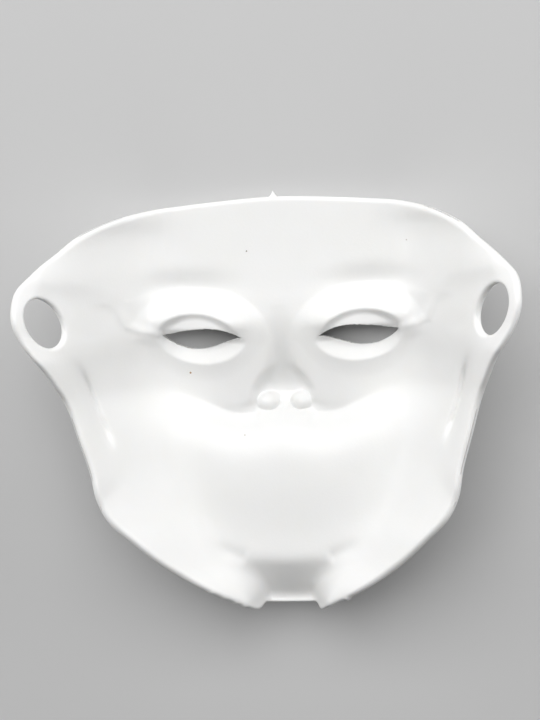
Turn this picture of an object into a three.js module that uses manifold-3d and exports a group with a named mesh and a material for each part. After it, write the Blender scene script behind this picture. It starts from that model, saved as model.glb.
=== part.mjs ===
// Demon mask: one thin moulded shell of white plastic, lying on its outer face with the hollow side up.
// Lengths are millimetres. The shell is shaped in a face frame and turned into its rest pose at the end.
// Face frame: origin between the eyes, x across the face, y up to the forehead, z toward the wearer.

import * as THREE from "three";
import { mergeVertices } from "three/addons/utils/BufferGeometryUtils.js";
import Module from "manifold-3d";

// Driving dimensions
const EYE_SPACING = 68;
const WALL = 3.6;
const MASK_HALF_WIDTH = 101.2;
const FOREHEAD_TOP = 58.6;
const CHIN_BOTTOM = -121;

// Side walls: a soft bend into a straight flare, and how far out the flare starts down the face: [y, x]
const FLARE_SLOPE = { jaw: 1.35, temple: 1.62 };
const FLARE_BEND = 4.5;
const FLARE_START = [
  [62, 51], [50.7, 52.8], [44, 55], [37, 55.6], [8, 55.7], [0, 55.5], [-9, 56], [-19, 55], [-29, 54.7],
  [-41, 54], [-55, 51.5], [-67, 47.4], [-76, 43], [-86, 37], [-99, 30.3], [-110, 20.9], [CHIN_BOTTOM, 17],
];

// Strap tabs: how much the flare eases beyond the tab line, down the face: [y, slope taken off]
const TAB_LINE = 82;
const TAB_BEND = 3;
const TAB_EASE = [
  [44, 1], [37, 1], [29, 0.77], [22, 0.63], [14.5, 0.46], [8, 0.4], [0, 0.42], [-9, 0.3], [-20, 0],
];

// Flange outside the jaw creases, where the wall stands steeper up to the rim: [y, x] where it starts
const FLANGE_START = [
  [20, 104], [8, 99], [0, 91], [-8, 82.5], [-26, 77.2], [-46, 69.5], [-58, 67], [-70, 74],
];
const FLANGE_SLOPE = 0.5;
const FLANGE_BEND = 1.2;

// Height of the hollow side along the middle line, without nose and chin: [y, z]
const MIDDLE_LINE = [
  [62, -2.2], [45, -4], [30, -5], [12, -5], [-10, -3], [-40, -0.5],
  [-65, 0], [-85, -0.5], [-100, 0], [CHIN_BOTTOM, 0.5],
];

// Ledge under the cheeks: the crease line [x, y] and the drop below it
const CREASE_LINE = [
  [0, -33], [8, -34], [14, -35.2], [22, -34.8], [32, -31], [46, -26.5], [58, -25], [82, -25],
];
const LEDGE_DROP = 7.5;
const LEDGE_RUN = 12.5;
const LEDGE_FADE = [60, 90];
const CHEEK_FADE = 42;

// Dip just above the crease, beside the nostrils
const CREASE_DIP = { depth: 2.4, run: 3.5, start: [9, 14], end: [18, 38] };

// Nose hollow: depth and half-width down the nose [y, value], the wide flanks beside it,
// and the ridge between the nostrils
const NOSE_DEPTH = [
  [12, 0], [4, 0.5], [-4, 1.5], [-12, 3.5], [-18, 5.8], [-23, 7.5], [-27.5, 8], [-31, 7.5],
  [-33.5, 5.2], [-35.5, 2.4], [-38, 0.5], [-40, 0],
];
const NOSE_HALF_WIDTH = [
  [12, 4.6], [-3, 4.6], [-10, 5], [-15, 5.9], [-20, 9.2], [-25, 11.4], [-30, 11.6], [-41, 12.5],
];
const NOSE_FLANK = { drop: 1.6, halfWidth: 14 };
const COLUMELLA = { height: 4, halfWidth: 3.6, start: -26, full: -31 };

// Round back of each nostril, which stands in the nose hollow
const NOSTRIL = { x: 7.7, y: -30.6, halfAcross: 5.4, halfUp: 4.4, top: -9.8, rise: 6 };

// Eye: a ring that rises toward the wearer around a sunken lid with the slit in it
const EYE = { x: EYE_SPACING / 2, tilt: 4.5 };
const RING_CREST = { shift: 1.5, halfUp: 16.8, halfDown: 19.5, up: 10, down: 12.5 };
const RING_FOOT = { half: 29.5, halfBelow: 25, up: 20.5, down: 20 };
const RING_HEIGHT = { up: 9, down: 1 };
const UPPER_LID = { middle: 7.5, corner: 2.2, half: 19, slope: 0.06, roll: 0.3 };
const LOWER_LID_SLOPE = 8.5;

// Upper and lower edge of the eye slit, from the nose outward: [along, up] from the eye's centre
const SLIT_UPPER = [
  [-17.3, -0.3], [-14, 1.3], [-10, 2.6], [-4.5, 3.2], [0, 2.9], [4, 2.3], [7.5, 1.8], [12.5, 0.4],
  [17.2, -0.6],
];
const SLIT_LOWER = [
  [-14.2, -0.9], [-12.4, -1.6], [-9, -3], [-4.5, -4.8], [-1, -5.8], [3.5, -6.25],
  [7.7, -5.8], [12.4, -4.1], [15.8, -2.1],
];

// Brow hollows
const BROW_HOLLOW = { x: 42, y: 21, halfLength: 15, halfHeight: 5.2, depth: 4 };

// Folds and creases, each along a line on both halves of the face
const TEMPLE_FOLD = {
  line: [[95, 28], [84, 26.2], [78.5, 25.6], [72, 23.7], [68.5, 20.5], [66.8, 15.5], [66, 9]],
  height: 1.8,
  width: 6,
  widthAbove: 11,
  fade: [0.15, 0.3],
};
const CORNER_FOLD = {
  line: [[67, 15.5], [66, 10], [63.8, 5.4], [59.2, 2.9], [51, 0.9]],
  height: 1.3,
  width: 1.5,
  widthAbove: 2.2,
  fade: [0.3, 0.05],
};
const CROW_FOLD = {
  line: [[65.5, 2.2], [60, 0.4], [55, -0.8], [50, -1.2]],
  height: 1,
  width: 2.4,
  fade: [0.4, 0.1],
};
const JAW_CREASE = {
  line: [[80.5, -6], [79.4, -12], [77.6, -23], [75, -31.5], [72, -39.5], [68.5, -48]],
  height: -4.6,
  width: 1.5,
  fade: [0.3, 0.3],
};
const CHIN_FOLD = { line: [[17, -98], [25, -94.5], [33, -89.5]], height: -1, width: 3, fade: [0.2, 0.6] };
const FOLDS = [TEMPLE_FOLD, CORNER_FOLD, CROW_FOLD, JAW_CREASE, CHIN_FOLD];

// Chin hollow, open at the rim: a pocket under an arched edge, with a lip that turns up at the rim
const CHIN = { top: -98.3, arch: 0.004, bottom: -115.5, slope: 0.73, halfAtRim: 13.7, halfAtTop: 20 };
const CHIN_SIDE = { softAtRim: 5, softAtTop: 9, softTop: 1.3, softBottom: 0.8 };
const CHIN_LIP = { start: -117, end: -120.5, lift: 1.2 };

// Outer face: brow ridges and lips in low relief on the even wall
const OUTER_BROW = {
  line: [[6, 10], [20, 20], [40, 26], [60, 27], [70, 23]],
  height: 2.6,
  width: 6,
  fade: [0.2, 0.3],
};
const OUTER_LIP_UP = {
  line: [[0, -61], [20, -60], [38, -54], [50, -46]],
  height: 1.8,
  width: 3.2,
  fade: [0, 0.3],
};
const OUTER_LIP_LOW = {
  line: [[0, -71], [18, -69.5], [34, -62], [47, -51]],
  height: 1.8,
  width: 3.2,
  fade: [0, 0.3],
};

// Rim: half of the outline as the outer edge shows it, from the top centre to the chin notch
const RIM = [
  [0, FOREHEAD_TOP], [25.6, 57.4], [39.8, 56.3], [54.4, 54.7], [67.8, 50.7], [79.1, 44.4], [86.4, 37.3],
  [94.6, 29.2], [100.1, 22.2], [MASK_HALF_WIDTH, 14.5], [100.5, 8], [97.7, 0.9], [91.6, -9.3],
  [88, -18.7], [84.6, -28.6], [81.2, -41.1], [77.3, -55], [75, -67.1], [70.6, -76.1], [61.3, -86.3],
  [48.8, -98.8], [33.1, -110.1], [19.3, -118.3], [14.8, CHIN_BOTTOM], [12.2, -119.2], [9.5, -119.3],
  [0, -119.4],
];
const CORNER_TOP = 4;
const CORNER_NOTCH = 23;

// Strap hole, bored square to the slope of the tab, and a small flat land beside it
const STRAP_HOLE = { x: 90.3, y: 9.2, halfAcross: 7.7, halfUp: 11.5, lean: 39.2, slope: 1.16 };
const STRAP_LAND = { x: 73.6, y: 7.7, flatRadius: 4.6, fadeRadius: 9 };

// Flash nib left on the top rim
const NIB = { width: 3, height: 2.8 };

// Rest pose: the mask lies on its nose tip and its two brow ridges, with a small flat on each
const REST_TILT = 8.7;
const REST_SHIFT = 30.4;
const REST_LIFT = 16.95;

// Mesh density: share of the columns or rows against share of the way, closer together over the face
const COLUMNS = 42;
const ROWS = 46;
const COLUMN_SPREAD = [[0, 0], [0.35, 0.27], [0.68, 0.56], [1, 1]];
const ROW_SPREAD = [[0, 0], [0.13, 0.2], [0.48, 0.4], [0.64, 0.53], [0.84, 0.84], [1, 1]];

function smoothStep(from, to, value) {
  const t = Math.min(Math.max((value - from) / (to - from), 0), 1);
  return t * t * (3 - 2 * t);
}

function bell(value) {
  return Math.exp(-value * value);
}

// Smooth curve through [place, value] pairs
function curveThrough(pairs) {
  const points = [...pairs].sort((p, q) => p[0] - q[0]);
  const last = points.length - 1;
  const slopeBetween = (p, q) => (q[1] - p[1]) / (q[0] - p[0]);
  const slopes = points.map(
    (p, i) => slopeBetween(points[Math.max(i - 1, 0)], points[Math.min(i + 1, last)]),
  );
  return (place) => {
    const at = Math.min(Math.max(place, points[0][0]), points[last][0]);
    let i = 0;
    while (i < last - 1 && at > points[i + 1][0]) i += 1;
    const span = points[i + 1][0] - points[i][0];
    const t = (at - points[i][0]) / span;
    const t2 = t * t;
    const t3 = t2 * t;
    return (2 * t3 - 3 * t2 + 1) * points[i][1] + (t3 - 2 * t2 + t) * span * slopes[i]
      + (3 * t2 - 2 * t3) * points[i + 1][1] + (t3 - t2) * span * slopes[i + 1];
  };
}

// A soft ridge, or a crease where the height is negative, along a line on each half of the face
function fold(x, y, { line, height, width, widthAbove = width, fade }) {
  const across = Math.abs(x);
  const lengths = line.slice(1).map((q, i) => Math.hypot(q[0] - line[i][0], q[1] - line[i][1]));
  const whole = lengths.reduce((sum, length) => sum + length, 0);
  let nearest = Infinity;
  let share = 0;
  let spread = width;
  let passed = 0;
  lengths.forEach((length, i) => {
    const [x0, y0] = line[i];
    const [x1, y1] = line[i + 1];
    const t = ((across - x0) * (x1 - x0) + (y - y0) * (y1 - y0)) / (length * length);
    const along = Math.min(Math.max(t, 0), 1);
    const gap = Math.hypot(across - x0 - along * (x1 - x0), y - y0 - along * (y1 - y0));
    if (gap < nearest) {
      nearest = gap;
      share = (passed + along * length) / whole;
      spread = (y - y0) * (x1 - x0) < (across - x0) * (y1 - y0) ? widthAbove : width;
    }
    passed += length;
  });
  const start = fade[0] > 0 ? smoothStep(0, fade[0], share) : 1;
  return height * bell(nearest / spread) * start * smoothStep(1, 1 - fade[1], share);
}

const middleHeight = curveThrough(MIDDLE_LINE);
const flareStart = curveThrough(FLARE_START);
const tabEase = curveThrough(TAB_EASE);
const flangeStart = curveThrough(FLANGE_START);
const creaseHeight = curveThrough(CREASE_LINE);
const noseDepth = curveThrough(NOSE_DEPTH);
const noseHalfWidth = curveThrough(NOSE_HALF_WIDTH);

function mix(low, high, share) {
  return low + (high - low) * share;
}

function softPlus(value, softness) {
  const v = value / softness;
  return softness * (v > 30 ? v : Math.log1p(Math.exp(v)));
}

// Trough whose sides flare steeply at the temples and ease off into the strap tabs
function flare(x, y) {
  const across = Math.abs(x);
  const slope = mix(FLARE_SLOPE.jaw, FLARE_SLOPE.temple, smoothStep(-24, -4, y));
  const ease = tabEase(y) * softPlus(across - TAB_LINE, TAB_BEND);
  return middleHeight(y) + slope * softPlus(across - flareStart(y), FLARE_BEND) - ease;
}

function flange(x, y) {
  return FLANGE_SLOPE * softPlus(Math.abs(x) - flangeStart(y), FLANGE_BEND);
}

// Cheeks set deeper than the lower face, which they meet at the crease
function ledge(x, y) {
  const across = Math.abs(x);
  const below = creaseHeight(across) - y;
  const softness = mix(0.35, 3, smoothStep(30, 70, across));
  const climbed = Math.min((softPlus(below, softness) - softPlus(below - LEDGE_RUN, 4)) / LEDGE_RUN, 1);
  const drop = LEDGE_DROP * (1 - smoothStep(LEDGE_FADE[0], LEDGE_FADE[1], across));
  const { depth, run, start, end } = CREASE_DIP;
  const beside = smoothStep(start[0], start[1], across) * (1 - smoothStep(end[0], end[1], across));
  const dip = depth * beside * Math.exp(-Math.max(-below, 0) / run) * bell(Math.max(below, 0) / 4);
  return -(drop * (1 - smoothStep(0, CHEEK_FADE, -below)) + dip) * (1 - climbed);
}

function nose(x, y) {
  const power = 3 + 3 * smoothStep(-12, -22, y) - 4 * smoothStep(-27, -33, y);
  const depth = Math.max(noseDepth(y), 0);
  const core = depth * Math.exp(-((Math.abs(x) / noseHalfWidth(y)) ** power));
  const flankAlong = smoothStep(16, -8, y) * smoothStep(-42, -30, y);
  const flank = NOSE_FLANK.drop * bell(x / NOSE_FLANK.halfWidth) * flankAlong;
  const ridgeAlong = smoothStep(COLUMELLA.start, COLUMELLA.full, y) * Math.min(depth / 6, 1);
  return COLUMELLA.height * ridgeAlong * bell(x / COLUMELLA.halfWidth) - core - flank;
}

function eyePlace(x, y) {
  const tilt = THREE.MathUtils.degToRad(EYE.tilt);
  const across = Math.abs(x) - EYE.x;
  return [across * Math.cos(tilt) + y * Math.sin(tilt), y * Math.cos(tilt) - across * Math.sin(tilt)];
}

function eye(x, y) {
  const [along, up] = eyePlace(x, y);
  const above = smoothStep(-3, 3, up);
  const crestHalf = mix(RING_CREST.halfDown, RING_CREST.halfUp, above);
  const crestUp = mix(RING_CREST.down, RING_CREST.up, above);
  const crest = Math.hypot((along - RING_CREST.shift * above) / crestHalf, up / crestUp);
  const footHalf = mix(RING_FOOT.halfBelow, RING_FOOT.half, smoothStep(-8, 4, up));
  const foot = Math.hypot(along / footHalf, up / mix(RING_FOOT.down, RING_FOOT.up, above));
  const flank = crest <= 1 ? 0 : foot >= 1 ? 1 : (crest - 1) / (crest - foot);
  const upward = up / crestUp / Math.max(crest, 0.05);
  const height = mix(RING_HEIGHT.down, RING_HEIGHT.up, smoothStep(-0.25, 0.8, upward));
  const ring = height * (1 - 0.75 * flank - 0.25 * smoothStep(0, 1, flank));
  const inside = Math.max(1 - crest, 0);
  const lidRise = (UPPER_LID.middle - UPPER_LID.corner) * (1 - (along / UPPER_LID.half) ** 2);
  const lid = UPPER_LID.corner + Math.max(lidRise, 0) - UPPER_LID.slope * (up - 3);
  const upper = mix(ring, lid, smoothStep(0, UPPER_LID.roll, inside));
  return mix(ring - LOWER_LID_SLOPE * inside, upper, above);
}

function browHollow(x, y) {
  const along = (Math.abs(x) - BROW_HOLLOW.x) / BROW_HOLLOW.halfLength;
  return -BROW_HOLLOW.depth * bell(along) * bell((y - BROW_HOLLOW.y) / BROW_HOLLOW.halfHeight);
}

function chinHollow(x, y) {
  const across = Math.abs(x);
  const rise = smoothStep(-116, -98, y);
  const half = mix(CHIN.halfAtRim, CHIN.halfAtTop, rise);
  const soft = mix(CHIN_SIDE.softAtRim, CHIN_SIDE.softAtTop, rise);
  const belowTop = softPlus(CHIN.top + CHIN.arch * across * across - y, CHIN_SIDE.softTop);
  const belowBottom = softPlus(CHIN.bottom - y, CHIN_SIDE.softBottom);
  const lip = CHIN_LIP.lift * smoothStep(CHIN_LIP.start, CHIN_LIP.end, y);
  const depth = CHIN.slope * (belowTop - belowBottom) - lip;
  return -depth * smoothStep(half + soft, half - soft, across);
}

// Height of the hollow side without the strap lands
function formedHeight(x, y) {
  const folds = FOLDS.reduce((sum, line) => sum + fold(x, y, line), 0);
  return flare(x, y) + flange(x, y) + ledge(x, y) + nose(x, y) + eye(x, y) + browHollow(x, y)
    + chinHollow(x, y) + folds;
}

const landHeight = formedHeight(STRAP_LAND.x, STRAP_LAND.y);
const landSlopeX = (
  formedHeight(STRAP_LAND.x + 1, STRAP_LAND.y) - formedHeight(STRAP_LAND.x - 1, STRAP_LAND.y)
) / 2;
const landSlopeY = (
  formedHeight(STRAP_LAND.x, STRAP_LAND.y + 1) - formedHeight(STRAP_LAND.x, STRAP_LAND.y - 1)
) / 2;

// Height of the hollow side, flattened to a land beside each strap hole
function innerHeight(x, y) {
  const stepX = Math.abs(x) - STRAP_LAND.x;
  const stepY = y - STRAP_LAND.y;
  const away = Math.hypot(stepX, stepY);
  const formed = formedHeight(x, y);
  if (away > STRAP_LAND.fadeRadius) return formed;
  const land = landHeight + landSlopeX * stepX + landSlopeY * stepY;
  return mix(land, formed, smoothStep(STRAP_LAND.flatRadius, STRAP_LAND.fadeRadius, away));
}

// Height of the outer face: everywhere one wall thickness from the hollow side, plus the relief
const OFFSET_RINGS = [[0.4, 6], [0.75, 10], [0.97, 14]];

function outerHeight(x, y) {
  let lowest = innerHeight(x, y) - WALL;
  for (const [reach, count] of OFFSET_RINGS) {
    const sink = WALL * Math.sqrt(1 - reach * reach);
    for (let i = 0; i < count; i += 1) {
      const angle = (2 * Math.PI * i) / count;
      const z = innerHeight(x + WALL * reach * Math.cos(angle), y + WALL * reach * Math.sin(angle)) - sink;
      lowest = Math.min(lowest, z);
    }
  }
  const relief = fold(x, y, OUTER_BROW) + fold(x, y, OUTER_LIP_UP) + fold(x, y, OUTER_LIP_LOW);
  return lowest - relief;
}

// Sideways step from the hollow side to the outer face, square to the broad form of the wall
function wallStep(x, y) {
  const reach = 5;
  const broad = (px, py) => flare(px, py) + 0.5 * ledge(px, py);
  const slopeX = (broad(x + reach, y) - broad(x - reach, y)) / (2 * reach);
  const slopeY = (broad(x, y + reach) - broad(x, y - reach)) / (2 * reach);
  const length = Math.sqrt(1 + slopeX * slopeX + slopeY * slopeY);
  return [(WALL * slopeX) / length, (WALL * slopeY) / length];
}

// Rim line, as points at even steps between two of its named corners
function rimCurve() {
  const half = RIM.map(([x, y]) => new THREE.Vector3(x, y, 0));
  const mirrored = half.slice(1, -1).reverse().map((p) => new THREE.Vector3(-p.x, p.y, 0));
  const curve = new THREE.CatmullRomCurve3([...half, ...mirrored], true, "centripetal");
  curve.arcLengthDivisions = 1200;
  return curve;
}

// Share of the rim's length at which a named rim point lies
function shareAt(curve, pointIndex) {
  const lengths = curve.getLengths();
  const step = (pointIndex * (lengths.length - 1)) / curve.points.length;
  return lengths[Math.round(step)] / lengths[lengths.length - 1];
}

const columnSpread = curveThrough(COLUMN_SPREAD);
const rowSpread = curveThrough(ROW_SPREAD);

function columnPlace(column) {
  const t = (2 * column) / COLUMNS - 1;
  return 0.5 + 0.5 * Math.sign(t) * columnSpread(Math.abs(t));
}

// Grid of places on the hollow side, in rows from the forehead to the chin
function gridPlaces() {
  const curve = rimCurve();
  const top = shareAt(curve, CORNER_TOP);
  const notch = shareAt(curve, CORNER_NOTCH);
  const rimAt = (share) => {
    const p = curve.getPointAt(((share % 1) + 1) % 1);
    const [dx, dy] = wallStep(p.x, p.y);
    return [p.x - dx, p.y - dy];
  };
  const topEdge = (u) => rimAt(top * (2 * u - 1));
  const chinEdge = (u) => rimAt(notch + (1 - 2 * notch) * (1 - u));
  const rightEdge = (v) => rimAt(top + (notch - top) * v);
  const leftEdge = (v) => rimAt(1 - top - (notch - top) * v);
  const rows = [];
  for (let row = 0; row <= ROWS; row += 1) {
    const v = rowSpread(row / ROWS);
    const places = [];
    for (let column = 0; column <= COLUMNS; column += 1) {
      const u = columnPlace(column);
      const corners = [topEdge(0), topEdge(1), chinEdge(0), chinEdge(1)];
      const place = [0, 1].map((axis) => (1 - v) * topEdge(u)[axis] + v * chinEdge(u)[axis]
        + (1 - u) * leftEdge(v)[axis] + u * rightEdge(v)[axis]
        - (1 - u) * (1 - v) * corners[0][axis] - u * (1 - v) * corners[1][axis]
        - (1 - u) * v * corners[2][axis] - u * v * corners[3][axis]);
      places.push(place);
    }
    rows.push(places);
  }
  return rows;
}

// Closed shell: the hollow side, the outer face and the cut rim between them
function shellGeometry() {
  const rows = gridPlaces();
  const positions = [];
  const indices = [];
  const width = COLUMNS + 1;
  const count = width * (ROWS + 1);
  for (const [x, y] of rows.flat()) positions.push(x, y, innerHeight(x, y));
  for (const [x, y] of rows.flat()) {
    const [dx, dy] = wallStep(x, y);
    positions.push(x + dx, y + dy, outerHeight(x + dx, y + dy));
  }
  const heightAt = (index) => positions[3 * index + 2];
  const addQuad = (a, b, c, d) => {
    if (Math.abs(heightAt(a) - heightAt(c)) <= Math.abs(heightAt(b) - heightAt(d))) {
      indices.push(a, b, c, a, c, d);
    } else {
      indices.push(a, b, d, b, c, d);
    }
  };
  for (let row = 0; row < ROWS; row += 1) {
    for (let column = 0; column < COLUMNS; column += 1) {
      const a = row * width + column;
      addQuad(a, a + width, a + width + 1, a + 1);
      addQuad(count + a, count + a + 1, count + a + width + 1, count + a + width);
    }
  }
  const rim = [];
  for (let column = 0; column < COLUMNS; column += 1) rim.push(column);
  for (let row = 0; row < ROWS; row += 1) rim.push(row * width + COLUMNS);
  for (let column = COLUMNS; column > 0; column -= 1) rim.push(ROWS * width + column);
  for (let row = ROWS; row > 0; row -= 1) rim.push(row * width);
  rim.forEach((a, i) => {
    const b = rim[(i + 1) % rim.length];
    addQuad(a, b, count + b, count + a);
  });
  const geometry = new THREE.BufferGeometry();
  geometry.setAttribute("position", new THREE.Float32BufferAttribute(positions, 3));
  geometry.setIndex(indices);
  return geometry;
}

// Slit through the lid, cut along z
function slitCutter(side) {
  const loop = [...SLIT_LOWER, ...[...SLIT_UPPER].reverse()];
  const outline = loop.map(([along, up]) => new THREE.Vector2(side * along, up));
  const cutter = new THREE.ExtrudeGeometry(new THREE.Shape(outline), { depth: 60, bevelEnabled: false });
  cutter.translate(0, 0, -30);
  cutter.rotateZ(THREE.MathUtils.degToRad(side * EYE.tilt));
  cutter.translate(side * EYE.x, 0, 0);
  return cutter;
}

// Strap hole through the tab, cut square to the slope of its land
function strapCutter(side) {
  const outline = new THREE.Shape();
  outline.absellipse(0, 0, STRAP_HOLE.halfAcross, STRAP_HOLE.halfUp, 0, 2 * Math.PI);
  const lean = Math.atan(STRAP_HOLE.slope);
  const cutter = new THREE.ExtrudeGeometry(outline, { depth: 24, bevelEnabled: false, curveSegments: 14 });
  cutter.translate(0, 0, -12);
  cutter.rotateZ(THREE.MathUtils.degToRad(-side * STRAP_HOLE.lean));
  cutter.rotateY(-side * lean);
  const middle = innerHeight(STRAP_HOLE.x, STRAP_HOLE.y) - WALL / (2 * Math.cos(lean));
  cutter.translate(side * STRAP_HOLE.x, STRAP_HOLE.y, middle);
  return cutter;
}

// Round back of a nostril, which stands in the nose hollow and is pressed flat inside the wall
function nostrilGeometry(side) {
  const dome = new THREE.SphereGeometry(1, 14, 9);
  dome.rotateX(Math.PI / 2);
  dome.scale(NOSTRIL.halfAcross, NOSTRIL.halfUp, NOSTRIL.rise);
  dome.translate(side * NOSTRIL.x, NOSTRIL.y, NOSTRIL.top - NOSTRIL.rise);
  const places = dome.attributes.position;
  for (let i = 0; i < places.count; i += 1) {
    places.setZ(i, Math.max(places.getZ(i), innerHeight(places.getX(i), places.getY(i)) - WALL / 2));
  }
  return dome;
}

// Small spike of flash that stands up from the middle of the top rim
function nibGeometry() {
  const buried = 1.5;
  const nib = new THREE.ConeGeometry(NIB.width / 2, NIB.height + buried, 6);
  nib.translate(0, FOREHEAD_TOP + (NIB.height - buried) / 2, innerHeight(0, FOREHEAD_TOP) - WALL / 2);
  return nib;
}

const wasm = await Module();
wasm.setup();

function solidOf(geometry) {
  const plain = geometry.clone();
  plain.deleteAttribute("normal");
  plain.deleteAttribute("uv");
  const merged = mergeVertices(plain, 1e-4);
  return new wasm.Manifold(new wasm.Mesh({
    numProp: 3,
    vertProperties: new Float32Array(merged.attributes.position.array),
    triVerts: new Uint32Array(merged.index.array),
  }));
}

function geometryOf(solid) {
  const mesh = solid.getMesh();
  const geometry = new THREE.BufferGeometry();
  geometry.setAttribute("position", new THREE.Float32BufferAttribute(mesh.vertProperties, 3));
  geometry.setIndex(new THREE.Uint32BufferAttribute(mesh.triVerts, 1));
  return geometry;
}

// Block below the rest plane, which cuts the flats on the nose tip and brow ridges
function restCutter() {
  const block = new THREE.BoxGeometry(300, 300, 20);
  block.translate(0, 0, -10);
  return block;
}

function maskGeometry() {
  let shell = solidOf(shellGeometry()).add(solidOf(nibGeometry()));
  for (const side of [-1, 1]) {
    shell = shell.add(solidOf(nostrilGeometry(side)));
    shell = shell.subtract(solidOf(slitCutter(side))).subtract(solidOf(strapCutter(side)));
  }
  const laid = geometryOf(shell);
  laid.rotateX(THREE.MathUtils.degToRad(-REST_TILT));
  laid.translate(0, REST_SHIFT, REST_LIFT);
  const rested = geometryOf(solidOf(laid).subtract(solidOf(restCutter())));
  rested.computeVertexNormals();
  return rested;
}

const whitePlastic = new THREE.MeshStandardMaterial({ color: 0xf2f3f4, roughness: 0.42, metalness: 0 });

const demonMask = new THREE.Group();
const shell = new THREE.Mesh(maskGeometry(), whitePlastic);
shell.name = "mask_shell";
demonMask.add(shell);

export default demonMask;
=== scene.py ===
# Demon mask: one moulded shell of white plastic, lying on its outer face with the hollow side up.
# Shapes are worked out in millimetres in a face frame and then laid down in the CAD frame, in metres.
# Face frame: origin between the eyes, x across the face, y up to the forehead, z toward the wearer.

import math

import bpy
import numpy as np
from mathutils import Matrix, Vector
from mathutils.geometry import delaunay_2d_cdt


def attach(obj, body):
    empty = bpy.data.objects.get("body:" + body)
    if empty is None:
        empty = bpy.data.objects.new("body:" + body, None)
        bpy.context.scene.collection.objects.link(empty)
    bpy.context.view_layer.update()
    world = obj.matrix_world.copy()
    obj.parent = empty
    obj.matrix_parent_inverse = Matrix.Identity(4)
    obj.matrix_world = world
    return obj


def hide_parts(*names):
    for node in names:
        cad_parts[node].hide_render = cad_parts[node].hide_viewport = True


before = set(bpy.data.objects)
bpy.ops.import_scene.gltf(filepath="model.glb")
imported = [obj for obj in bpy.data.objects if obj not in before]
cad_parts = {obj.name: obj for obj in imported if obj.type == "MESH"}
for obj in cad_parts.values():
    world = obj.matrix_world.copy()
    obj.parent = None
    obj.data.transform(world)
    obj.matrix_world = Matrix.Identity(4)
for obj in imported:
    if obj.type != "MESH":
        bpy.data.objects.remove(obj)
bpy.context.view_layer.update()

bl_info = {
    "name": "Demon Mask",
    "version": (1, 0, 0),
    "blender": (4, 5, 0),
    "location": "View3D > Sidebar > Mask",
    "description": "Builds a one-piece moulded face mask in white plastic and its plain studio",
    "category": "Object",
}

# Driving dimensions, as in the solids
EYE_SPACING = 68
WALL = 3.6
MASK_HALF_WIDTH = 101.2
FOREHEAD_TOP = 58.6
CHIN_BOTTOM = -121

# Side walls: a soft bend into a straight flare, and how far out the flare starts down the face: (y, x)
FLARE_SLOPE = {"jaw": 1.35, "temple": 1.62}
FLARE_BEND = 4.5
FLARE_START = (
    (62, 51), (50.7, 52.8), (44, 55), (37, 55.6), (8, 55.7), (0, 55.5), (-9, 56), (-19, 55), (-29, 54.7),
    (-41, 54), (-55, 51.5), (-67, 47.4), (-76, 43), (-86, 37), (-99, 30.3), (-110, 20.9), (CHIN_BOTTOM, 17),
)

# Strap tabs: how much the flare eases beyond the tab line, down the face: (y, slope taken off)
TAB_LINE = 82
TAB_BEND = 3
TAB_EASE = ((44, 1), (37, 1), (29, 0.77), (22, 0.63), (14.5, 0.46), (8, 0.4), (0, 0.42), (-9, 0.3), (-20, 0))

# Flange outside the jaw creases, where the wall stands steeper up to the rim: start (y, x) and added slope
FLANGE_START = ((20, 104), (8, 99), (0, 91), (-8, 82.5), (-26, 77.2), (-46, 69.5), (-58, 67), (-70, 74))
FLANGE_SLOPE = 0.5
FLANGE_BEND = 1.2

# Height of the hollow side along the middle line, without nose and chin: (y, z)
MIDDLE_LINE = (
    (62, -2.2), (45, -4), (30, -5), (12, -5), (-10, -3), (-40, -0.5),
    (-65, 0), (-85, -0.5), (-100, 0), (CHIN_BOTTOM, 0.5),
)

# Ledge under the cheeks: the crease line (x, y), the drop above it, the run down the face that climbs it,
# where it fades across the face and above the crease, and how soft its bends are
CREASE_LINE = (
    (0, -33), (8, -34), (14, -35.2), (22, -34.8), (32, -31), (46, -26.5), (58, -25), (82, -25),
)
LEDGE_DROP = 7.5
LEDGE_RUN = 12.5
LEDGE_FADE = (60, 90)
CHEEK_FADE = 42
LEDGE_BEND = {"crease": 0.35, "side": 3, "side_from": (30, 70), "foot": 4}

# Dip just above the crease, beside the nostrils: depth, reach up and down, and where it starts and ends
CREASE_DIP = {"depth": 2.4, "run": 3.5, "below": 4, "start": (9, 14), "end": (18, 38)}

# Nose hollow: depth and half-width down the nose (y, value), how square it is across, the wide flanks beside
# it, and the ridge between the nostrils
NOSE_DEPTH = (
    (12, 0), (4, 0.5), (-4, 1.5), (-12, 3.5), (-18, 5.8), (-23, 7.5), (-27.5, 8), (-31, 7.5),
    (-33.5, 5.2), (-35.5, 2.4), (-38, 0.5), (-40, 0),
)
NOSE_HALF_WIDTH = (
    (12, 4.6), (-3, 4.6), (-10, 5), (-15, 5.9), (-20, 9.2), (-25, 11.4), (-30, 11.6), (-41, 12.5),
)
NOSE_POWER = {"bridge": 3, "wide": 6, "nostrils": 2, "widens": (-12, -22), "rounds": (-27, -33)}
NOSE_FLANK = {"drop": 1.6, "half_width": 14, "top": (16, -8), "bottom": (-42, -30)}
COLUMELLA = {"height": 4, "half_width": 3.6, "start": -26, "full": -31}

# Round back of each nostril, which stands in the nose hollow
NOSTRIL = {"x": 7.7, "y": -30.6, "half_across": 5.4, "half_up": 4.4, "top": -9.8, "rise": 6, "join": 0.25}

# Eye: a ring that rises toward the wearer around a sunken lid with the slit in it
EYE_X = EYE_SPACING / 2
EYE_TILT = 4.5
RING_CREST = {"shift": 1.5, "half_up": 16.8, "half_down": 19.5, "up": 10, "down": 12.5}
RING_FOOT = {"half": 29.5, "half_below": 25, "up": 20.5, "down": 20}
RING_HEIGHT = {"up": 9, "down": 1}
UPPER_LID = {"middle": 7.5, "corner": 2.2, "half": 19, "slope": 0.06, "roll": 0.3}
LOWER_LID_SLOPE = 8.5

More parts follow.
